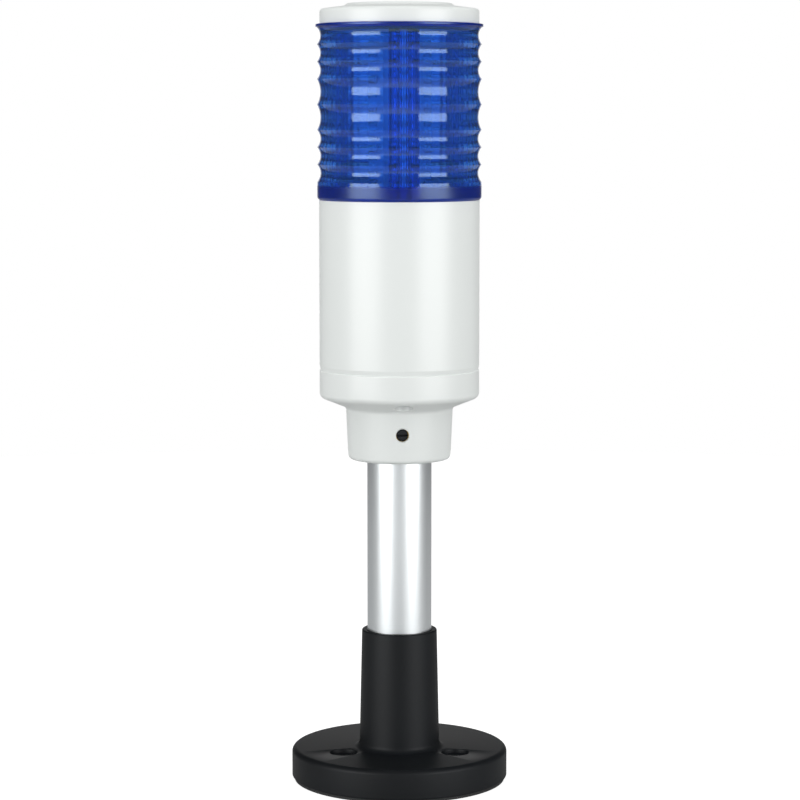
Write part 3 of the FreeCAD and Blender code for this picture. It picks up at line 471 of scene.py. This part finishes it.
def body_piece(material):
    """Round case: wall, tongue, lap recess and shelf in one outline, with columns and posts."""
    shelf = SHELF_Z - SHELF_T
    body = solid("round_case", lathe(outline(
        (CASE_BORE_R, SEAM_Z - TONGUE), (LAP_R - SLIP / 2, SEAM_Z - TONGUE), (LAP_R - SLIP / 2, SEAM_Z),
        (CASE_R - SEAM, SEAM_Z), (CASE_R, SEAM_Z + SEAM_FALL, CASE_FOOT_ROUND),
        (CASE_R, LENS_Z, CASE_TOP_EDGE), (LAP_R + SLIP / 2, LENS_Z), (LAP_R + SLIP / 2, LENS_Z - LAP_H),
        (CASE_BORE_R, LENS_Z - LAP_H), (CASE_BORE_R, SHELF_Z, INNER_ROUND), (SHELF_HOLE_R, SHELF_Z),
        (SHELF_HOLE_R, shelf), (CASE_BORE_R, shelf, INNER_ROUND))))
    post_turn = HEAD_TURN + THIRD / 2
    weld(body, columns(SEAM_Z - TONGUE, LENS_Z - LAP_H))
    weld(body, thrice(rod(POST_R, POST_Z, SHELF_Z - 0.5), POST_CIRCLE_R, post_turn))
    carve(body, tie_holes(TIE_HOLE_R, SEAM_Z - DRILL, LENS_Z))
    carve(body, thrice(rod(POST_PILOT_R, POST_Z - PAST, SHELF_Z + PAST, 24), POST_CIRCLE_R, post_turn))
    return fit(body, "body_housing", material)


def lens_piece(material):
    """The lens as one closed surface in polar form. Outside, the radius depends on height alone: a
    plain band, then circular scallops r = R - d (1 - (2t - 1)^2) between sharp crests, then the flange.
    Inside, it depends on angle: n flutes, d sin^2(n a / 2) deep, and a column's nose wherever that is
    nearer."""
    sides = FLUTES * 10
    angle = np.linspace(0, 2 * math.pi, sides, endpoint=False)
    per_scallop = 13
    crest = LENS_Z + LENS_BAND + np.concatenate([[0], np.cumsum(SCALLOPS)])
    share = np.linspace(0, 1, per_scallop)[:-1]
    heights = (crest[:-1, None] + np.diff(crest)[:, None] * share).ravel()
    dips = np.tile(LENS_VALLEY * (1 - (2 * share - 1) ** 2), len(SCALLOPS))
    scallops = np.stack([LENS_R - dips, heights], 1)
    rim = CAP_Z - LENS_FLANGE
    bore_top = CAP_Z - LAP_H
    outside = np.concatenate([
        outline((LAP_R - SLIP / 2, LENS_Z - TONGUE), (LAP_R - SLIP / 2, LENS_Z),
                (LENS_R, LENS_Z, LENS_FOOT_ROUND), (LENS_R, crest[0])),
        scallops[1:],
        outline((LENS_R, rim), (LENS_FLANGE_R, rim, SHARP_EDGE), (LENS_FLANGE_R, CAP_Z, SHARP_EDGE),
                (LAP_R + SLIP / 2, CAP_Z), steps=4),
        [(LAP_R + SLIP / 2, bore_top)]])
    flute = FLUTE_DEPTH * np.sin(FLUTES * angle / 2) ** 2
    tops = [bore_top, bore_top - FLUTE_START, bore_top - FLUTE_FULL]
    feet = [LENS_Z + FLUTE_FULL, LENS_Z + FLUTE_START, LENS_Z - TONGUE]
    inner_z = np.concatenate([tops, np.linspace(tops[-1], feet[0], 8)[1:-1], feet])
    fluted = ((inner_z <= tops[-1]) & (inner_z >= feet[0])).astype(float)
    inner_r = CASE_BORE_R + flute[:, None] * fluted[None]
    turn = (angle[:, None] + THIRD / 2) % THIRD - THIRD / 2
    width = TIE_CIRCLE_R * np.sin(turn)
    nose = TIE_CIRCLE_R * np.cos(turn) - np.sqrt(np.clip(COLUMN_R ** 2 - width ** 2, 0, None))
    inner_r = np.where((np.abs(width) < COLUMN_R) & (np.cos(turn) > 0), nose, inner_r)
    radius = np.concatenate([np.broadcast_to(outside[:, 0], (sides, len(outside))), inner_r], 1)
    height = np.broadcast_to(np.concatenate([outside[:, 1], inner_z]), radius.shape)
    across = angle[:, None] + HEAD_TURN
    points = np.stack([radius * np.sin(across), -radius * np.cos(across), height], -1).reshape(-1, 3)
    body = solid("ribbed_lens", (points, [quads(*radius.shape)]))
    carve(body, tie_holes(TIE_HOLE_R, LENS_Z - DRILL, CAP_Z + PAST))
    return fit(body, "lens", material, crease=24)


def cap_piece(material):
    """Cap with a rounded rim, a shallow slope and a raised disc, its tongue and its three bosses."""
    body = solid("domed_cap", lathe(outline(
        (CASE_BORE_R, CAP_Z - TONGUE), (LAP_R - SLIP / 2, CAP_Z - TONGUE), (LAP_R - SLIP / 2, CAP_Z),
        (CAP_R, CAP_Z, SHARP_EDGE), (CAP_R, CAP_Z + CAP_RIM_H, CAP_EDGE),
        (CAP_SHOULDER_R, CAP_Z + CAP_SHOULDER_H, CAP_STEP_ROUND),
        (CAP_DISC_R, CAP_Z + CAP_DISC_H, CAP_STEP_ROUND), (0, TOP_Z), (0, TOP_Z - CAP_WALL),
        (CAP_SHOULDER_R, CAP_Z + CAP_SHOULDER_H - CAP_WALL),
        (CASE_BORE_R, CAP_Z + CAP_RIM_H - CAP_WALL, CAP_INNER_ROUND))))
    weld(body, columns(CAP_Z - TONGUE, CAP_Z + CAP_RIM_H - CAP_EDGE))
    carve(body, tie_holes(NUT_R, CAP_Z - DRILL, low("cap_nuts")[2] + NUT_LENGTH))
    return fit(body, "top_cap", material)


def set_screw_piece(material):
    """Set screw with a pointed tip, a chamfered end and a slot across it."""
    tip = POLE_R + SET_TIP_GAP
    end = tip + SET_LENGTH
    body = solid("slotted_screw", laid_out(lathe(outline(
        (0, tip), (SET_R / 2, tip), (SET_R, tip + SET_POINT), (SET_R, end - SET_CHAMFER),
        (SET_R - SET_CHAMFER, end), (0, end)), 64), COLLAR_Z + SET_Z, HEAD_TURN))
    slot = bar(3 * SET_R, SET_SLOT, end - SET_SLOT_DEPTH, end + PAST)
    carve(body, laid_out(slot, COLLAR_Z + SET_Z, HEAD_TURN))
    return fit(body, "collar_set_screw", material)


# --- Materials ------------------------------------------------------------------------------------

def srgb(code):
    """Linear colour of an sRGB hex code: c / 12.92 up to 0.04045, and ((c + 0.055) / 1.055)^2.4 above."""
    c = np.array([int(code[i:i + 2], 16) for i in (1, 3, 5)]) / 255
    return (*np.where(c <= 0.04045, c / 12.92, ((c + 0.055) / 1.055) ** 2.4).tolist(), 1.0)


def add(tree, kind, inputs={}, **settings):
    """Adds a node with its settings. An input takes a value, or a socket that it is linked from."""
    node = tree.nodes.new("ShaderNode" + kind)
    for name, value in settings.items():
        setattr(node, name, value)
    for name, value in inputs.items():
        if isinstance(value, bpy.types.NodeSocket):
            tree.links.new(value, node.inputs[name])
        else:
            node.inputs[name].default_value = value
    return node


def started(name, **sockets):
    """A new material with a Principled shader whose even values are set on its own sockets."""
    made = bpy.data.materials.new(name)
    made.use_nodes = True
    tree = made.node_tree
    shader = tree.nodes["Principled BSDF"]
    for socket, value in sockets.items():
        shader.inputs[socket.replace("_", " ").title().replace("Ior", "IOR")].default_value = value
    return made, tree, shader


def pattern(tree, size, stretch=(1, 1, 1), detail=2.0, roughness=0.5):
    """Noise whose grains are `size` millimetres across, drawn out by `stretch` along X, Y and Z."""
    place = add(tree, "TexCoord").outputs["Object"]
    scale = [1 / (size * MM * pull) for pull in stretch]
    place = add(tree, "Mapping", {"Vector": place, "Scale": scale}).outputs["Vector"]
    return add(tree, "TexNoise", {"Vector": place, "Scale": 1.0, "Detail": detail,
                                  "Roughness": roughness}).outputs["Fac"]


def spread(tree, value, low, high):
    """The middle of a noise's range, spread evenly from low to high."""
    return add(tree, "MapRange", {"Value": value, "From Min": 0.2, "From Max": 0.8,
                                  "To Min": low, "To Max": high}).outputs["Result"]


def relief(tree, shader, *layers):
    """Bumps on the surface: each layer is a pattern and its depth in millimetres."""
    normal = None
    for value, depth in layers:
        inputs = {"Height": value, "Distance": depth * MM, "Strength": 1.0}
        if normal is not None:
            inputs["Normal"] = normal
        normal = add(tree, "Bump", inputs).outputs["Normal"]
    tree.links.new(normal, shader.inputs["Normal"])


def tinted(tree, shader, value, low, high):
    """Base colour between two hex colours, by a pattern."""
    ramp = add(tree, "ValToRGB", {"Fac": value})
    ramp.color_ramp.elements[0].position, ramp.color_ramp.elements[1].position = 0.2, 0.8
    ramp.color_ramp.elements[0].color, ramp.color_ramp.elements[1].color = srgb(low), srgb(high)
    tree.links.new(ramp.outputs["Color"], shader.inputs["Base Color"])


def moulded(name, low, high, roughness, grain, depth, **sockets):
    """Injection-moulded plastic. The tool's spark grain gives a fine relief and breaks the gloss up a
    little, and the melt's flow leaves a colour and a gloss that drift over tens of millimetres."""
    made, tree, shader = started(name, **{"ior": 1.52, "diffuse_roughness": 0.1, **sockets})
    flow = pattern(tree, 26.0, (1, 1, 1.8), detail=1.0)
    tinted(tree, shader, flow, low, high)
    fine = pattern(tree, grain, detail=3.0)
    tree.links.new(spread(tree, flow, roughness - 0.008, roughness + 0.008), shader.inputs["Roughness"])
    relief(tree, shader, (fine, depth), (pattern(tree, 9.0, detail=0.0), 0.0006))
    return made


def metal(name, low, high, roughness, size, stretch, depth, **sockets):
    """Metal whose surface marks are `size` millimetres wide and drawn out along the way it was worked."""
    made, tree, shader = started(name, metallic=1.0, **sockets)
    marks = pattern(tree, size, stretch, detail=3.0, roughness=0.6)
    cloud = pattern(tree, 12.0, detail=2.0)
    tinted(tree, shader, cloud, low, high)
    tree.links.new(spread(tree, marks, roughness - 0.04, roughness + 0.04), shader.inputs["Roughness"])
    relief(tree, shader, (marks, depth))
    return made


# White ABS, injection-moulded and satin: soft-edged reflections, a slightly green-grey white.
WHITE_ABS = moulded("white_moulded_abs", "#EAEEEC", "#ECF0EE", 0.36, 0.35, 0.0008, specular_ior_level=0.42)
# Black glass-filled polyamide, moulded in a spark-eroded tool: a fine grain and broad, dull highlights.
BLACK_POLYAMIDE = moulded("black_moulded_polyamide", "#101316", "#161A1E", 0.5, 0.4, 0.003,
                          specular_ior_level=0.2)
# Green polyamide of a terminal block, glossy from the tool.
GREEN_POLYAMIDE = moulded("green_moulded_polyamide", "#2B8448", "#34944F", 0.34, 0.4, 0.002)
# White polycarbonate of the light core, matt so that it scatters the diodes' light.
MATT_POLYCARBONATE = moulded("matt_white_polycarbonate", "#E9ECEA", "#F0F2F0", 0.5, 0.35, 0.003, ior=1.58)
# Black epoxy and PVC sleeve of the electronic components: smooth, with a low sheen.
COMPONENT_EPOXY = moulded("black_component_epoxy", "#171718", "#202122", 0.38, 0.5, 0.003)
# Yellow flame-proof case of a film capacitor.
FILM_CASE = moulded("yellow_capacitor_case", "#D2A021", "#DDAC30", 0.35, 0.5, 0.002)
# EPDM rubber, moulded: dull and nearly black, with a slight bloom.
EPDM_RUBBER = moulded("moulded_epdm_rubber", "#1A1B1C", "#26282A", 0.72, 0.5, 0.006, sheen_weight=0.1)
# Green solder mask on glass-fibre board: a glossy skin over the weave's faint relief.
GREEN_SOLDER_MASK = moulded("green_solder_mask", "#17512C", "#1E6236", 0.28, 0.6, 0.003, coat_weight=0.3)
# White solder mask on glass-fibre board: brighter and duller than the green one.
WHITE_SOLDER_MASK = moulded("white_solder_mask", "#E2E5E3", "#EDEFEE", 0.42, 0.6, 0.002)

# Zinc-plated steel: bright, slightly blue, with a cloudy crystalline plating.
ZINC_PLATED_STEEL = metal("zinc_plated_steel", "#BFC5CA", "#D2D6D9", 0.3, 0.5, (1, 1, 1), 0.002)
# Blackened steel: an oxide skin that keeps a dull metallic sheen.
BLACKENED_STEEL = metal("blackened_steel", "#2B2C2E", "#3E4042", 0.36, 0.4, (1, 1, 1), 0.003)
# Turned brass: fine rings from the lathe, drawn as wide as they need to be to show.
TURNED_BRASS = metal("turned_brass", "#C79F4E", "#D6B265", 0.26, 0.3, (8, 8, 1), 0.004)
# Tinned copper pins: a soft white metal with a dull dip finish.
TINNED_COPPER = metal("tinned_copper", "#C6C4BC", "#D8D6CF", 0.34, 0.4, (1, 1, 4), 0.002)


def anodised_aluminium():
    """Aluminium tube, drawn and clear anodised. The die leaves long lines along the tube, a few tenths
    of a millimetre wide, that spread each reflection sideways more than up and down."""
    made, tree, shader = started("drawn_anodised_aluminium", metallic=1.0, anisotropic=0.3)
    lines = pattern(tree, 0.45, (1, 1, 180), detail=2.0)
    cloud = pattern(tree, 9.0, (1, 1, 12), detail=1.0)
    tinted(tree, shader, cloud, "#DDE2E4", "#E6EAEB")
    tree.links.new(spread(tree, lines, 0.32, 0.38), shader.inputs["Roughness"])
    tangent = add(tree, "Tangent", direction_type="RADIAL", axis="Z").outputs["Tangent"]
    tree.links.new(tangent, shader.inputs["Tangent"])
    relief(tree, shader, (lines, 0.0015))
    return made


def clear_plastic(name, ior, roughness, haze, skin, depth, density, **sockets):
    """Transparent plastic. Each wall takes the skin's tint, and the depth's tint is what is left after
    1 / density metres. Haze is the share of the light that the pigment scatters instead of letting it
    through. The lamps' light passes it instead of casting a full shadow."""
    made, tree, shader = started(name, transmission_weight=1 - haze, ior=ior, roughness=roughness,
                                 base_color=srgb(skin), **sockets)
    clear = add(tree, "BsdfTransparent", {"Color": srgb(skin)}).outputs["BSDF"]
    shadow = add(tree, "LightPath").outputs["Is Shadow Ray"]
    through = add(tree, "MixShader", {0: shadow, 1: shader.outputs["BSDF"], 2: clear})
    output = tree.nodes["Material Output"]
    tree.links.new(through.outputs["Shader"], output.inputs["Surface"])
    inside = add(tree, "VolumeAbsorption", {"Color": srgb(depth), "Density": density})
    tree.links.new(inside.outputs["Volume"], output.inputs["Volume"])
    relief(tree, shader, (pattern(tree, 5.0, detail=0.0), 0.0012))
    return made


SHADED_ENDS_MIDDLE = 31.1                     # height above the case, midway between the lens's two ends with painted shade
SHADED_ENDS_START = 25.5                      # up and down from there, painted shade starts to deepen the blue and the gloss starts to dull
SHADED_ENDS_FULL = 26.9                       # and both are at their fullest


def blue_polycarbonate():
    """Polycarbonate of the lens, blue all through: deep where walls lie behind each other. Toward flange
    and foot the base colour is painted a deeper blue as painted shade, and the tool leaves both ends matt."""
    skin = "#5C9BE0"
    gloss = 0.09
    made = clear_plastic("blue_moulded_polycarbonate", 1.585, gloss, 0.08, skin, "#4CBAED", 250.0,
                         specular_ior_level=0.15, specular_tint=srgb("#DDF8FF"))
    tree = made.node_tree
    height = add(tree, "SeparateXYZ", {"Vector": add(tree, "TexCoord").outputs["Object"]}).outputs["Z"]
    middle = (LENS_Z + SHADED_ENDS_MIDDLE) * MM
    away = add(tree, "Math", {0: height, 1: middle}, operation="SUBTRACT").outputs[0]
    away = add(tree, "Math", {0: away}, operation="ABSOLUTE").outputs[0]
    shaded_matt_ends = add(tree, "MapRange", {"Value": away, "From Min": SHADED_ENDS_START * MM,
                                  "From Max": SHADED_ENDS_FULL * MM}).outputs["Result"]
    shader = tree.nodes["Principled BSDF"]
    # Painted shade: the base colour goes a deeper blue toward the flange and the foot.
    tinted(tree, shader, shaded_matt_ends, skin, "#0F48B4")
    tree.links.new(spread(tree, shaded_matt_ends, gloss, 0.3), shader.inputs["Roughness"])
    return made


# Clear epoxy domes of the diodes.
CLEAR_EPOXY = clear_plastic("clear_cast_epoxy", 1.53, 0.08, 0.0, "#EEF3F6", "#E6EEF2", 60.0)

FINISH = {
    "black_moulding": BLACK_POLYAMIDE, "seal_rubber": EPDM_RUBBER,
    "pole_aluminium": anodised_aluminium(), "steel_screw": ZINC_PLATED_STEEL,
    "dark_steel": BLACKENED_STEEL, "white_moulding": WHITE_ABS, "brass_insert": TURNED_BRASS,
    "board_green": GREEN_SOLDER_MASK, "board_white": WHITE_SOLDER_MASK,
    "terminal_green": GREEN_POLYAMIDE, "black_component": COMPONENT_EPOXY, "film_yellow": FILM_CASE,
    "tinned_pin": TINNED_COPPER, "core_white": MATT_POLYCARBONATE, "diode_clear": CLEAR_EPOXY,
    "lens_blue": blue_polycarbonate(),
}

# --- The finished pieces --------------------------------------------------------------------------

for node, cad in frame["nodes"].items():
    for entry in cad.material_slots:
        entry.material = FINISH[SLOT_OF[node]]

for node, make in (("base_flange", base_piece), ("pole", pole_piece), ("lower_housing", lower_piece),
                   ("body_housing", body_piece), ("lens", lens_piece), ("top_cap", cap_piece),
                   ("collar_set_screw", set_screw_piece)):
    make(FINISH[SLOT_OF[node]])

# --- Floor, lights and camera ---------------------------------------------------------------------

FLOOR_R = 900.0                        # the floor is a round table top, out of sight at its rim
FLOOR_T = 2.0
FLOOR_GLOW = 0.84                      # white added to the floor where it is seen
FLOOR_GLOSS = (0.1, 0.9)               # share of that white which gloss mirrors: by the pole, in front
FLOOR_FRONT = (-0.28, -0.42)           # Y, in metres, between which the one share goes over to the other
ROOM_LIGHT = 0.9                       # even light of the room on matt surfaces
ROOM_GLOSS = 0.05                      # the dim side of the room, as gloss mirrors it
BACKDROP_EDGE = (0.93, 0.98)           # how far round the backdrop reaches: cosine from straight behind
BOX_SIZE = (0.97, 0.83)                # softboxes: width and height in metres
BOX_AWAY = 1.2                         # from the pole
BOX_STEP = 0.01                        # the lamp for gloss, in front of the one for matt surfaces
BOX_Z = 0.16                           # height of their middle
BOX_TARGET = (0, 0, 0.14)
SOFTBOXES = (("left", -50, 1.6, 5.2),  # degrees round from the front, and radiance for matt and for gloss
             ("right", 50, 1.5, 4.8))
CAMERA_PLACE = (0.0002, -0.9, 0.2275)
CAMERA_TARGET = (0.0002, 0, 0.131)
CAMERA_LENS = 119.5                    # focal length over a sensor 36 mm wide


def floor_paint():
    """White painted floor. The camera and clear plastic see it with white light added, so it reads as
    white, and it still darkens where the object stands in the light's way. Gloss sees most of that
    white in front of the object and little of it elsewhere."""
    made, tree, shader = started("white_painted_floor", base_color=srgb("#A8A8A8"), roughness=0.9)
    seen = add(tree, "LightPath").outputs
    depth = add(tree, "SeparateXYZ", {"Vector": add(tree, "TexCoord").outputs["Object"]}).outputs["Y"]
    share = add(tree, "MapRange", {"Value": depth, "From Min": FLOOR_FRONT[0],
                                   "From Max": FLOOR_FRONT[1], "To Min": FLOOR_GLOSS[0],
                                   "To Max": FLOOR_GLOSS[1]}).outputs["Result"]
    dimmed = add(tree, "Math", {0: seen["Is Glossy Ray"], 1: share}, operation="MULTIPLY").outputs[0]
    shown = add(tree, "Math", {0: seen["Is Camera Ray"], 1: seen["Is Transmission Ray"]},
                operation="MAXIMUM").outputs[0]
    shown = add(tree, "Math", {0: shown, 1: dimmed}, operation="MAXIMUM").outputs[0]
    added = add(tree, "Math", {0: shown, 1: FLOOR_GLOW}, operation="MULTIPLY").outputs[0]
    glow = add(tree, "Emission", {"Color": (1, 1, 1, 1), "Strength": added}).outputs["Emission"]
    both = add(tree, "AddShader", {0: shader.outputs["BSDF"], 1: glow}).outputs["Shader"]
    tree.links.new(both, tree.nodes["Material Output"].inputs["Surface"])
    return made


def studio():
    """White all round for the camera and through clear plastic, and soft for matt surfaces. Gloss sees
    a white backdrop beyond the object, and a dim room on the other sides, where the lamps stand out."""
    world = bpy.data.worlds.new("studio")
    world.use_nodes = True
    sky = world.node_tree
    seen = add(sky, "LightPath").outputs
    direct = add(sky, "Math", {0: seen["Is Camera Ray"], 1: seen["Is Transmission Ray"]},
                 operation="MAXIMUM").outputs[0]
    way = add(sky, "SeparateXYZ", {"Vector": add(sky, "TexCoord").outputs["Generated"]}).outputs["Y"]
    mirrored = add(sky, "MapRange", {"Value": way, "From Min": BACKDROP_EDGE[0],
                                     "From Max": BACKDROP_EDGE[1], "To Min": ROOM_GLOSS,
                                     "To Max": 1.0}).outputs["Result"]
    soft = add(sky, "Mix", {0: seen["Is Glossy Ray"], 2: ROOM_LIGHT, 3: mirrored}).outputs[0]
    level = add(sky, "Mix", {0: direct, 2: soft, 3: 1.0}).outputs[0]
    background = sky.nodes["Background"].inputs
    background["Color"].default_value = (1, 1, 1, 1)
    sky.links.new(level, background["Strength"])
    return world


def aimed(made, place, target):
    """Puts a lamp or camera at its place, looking at the target with its top up."""
    made.location = place
    way = Vector(target) - Vector(place)
    made.rotation_euler = way.to_track_quat("-Z", "Y").to_euler()
    bpy.context.scene.collection.objects.link(made)
    return made


def softbox(side, azimuth, matt, gloss):
    """A softbox as two lamps, one just before the other: matt surfaces are lit by the back one, and
    gloss mirrors the front one. A lamp with an even face gives radiance x pi x area watts."""
    turn = math.radians(azimuth)
    for use, radiance, away in (("matt", matt, BOX_AWAY), ("gloss", gloss, BOX_AWAY - BOX_STEP)):
        place = (away * math.sin(turn), -away * math.cos(turn), BOX_Z)
        lamp = bpy.data.lights.new(f"softbox_{side}_{use}", "AREA")
        lamp.shape = "RECTANGLE"
        lamp.size, lamp.size_y = BOX_SIZE
        lamp.energy = radiance * math.pi * BOX_SIZE[0] * BOX_SIZE[1]
        made = aimed(bpy.data.objects.new(lamp.name, lamp), place, BOX_TARGET)
        made.visible_diffuse = use == "matt"
        made.visible_glossy = made.visible_transmission = use == "gloss"


floor = solid("floor", rod(FLOOR_R, -FLOOR_T, 0, 96))
floor.data.materials.append(floor_paint())
bpy.context.scene.world = studio()

for side, azimuth, matt, gloss in SOFTBOXES:
    softbox(side, azimuth, matt, gloss)

view = bpy.data.cameras.new("camera")
view.sensor_width = 36
view.lens = CAMERA_LENS
camera = aimed(bpy.data.objects.new("camera", view), CAMERA_PLACE, CAMERA_TARGET)
bpy.context.scene.camera = camera
bpy.context.scene.view_settings.view_transform = "Standard"
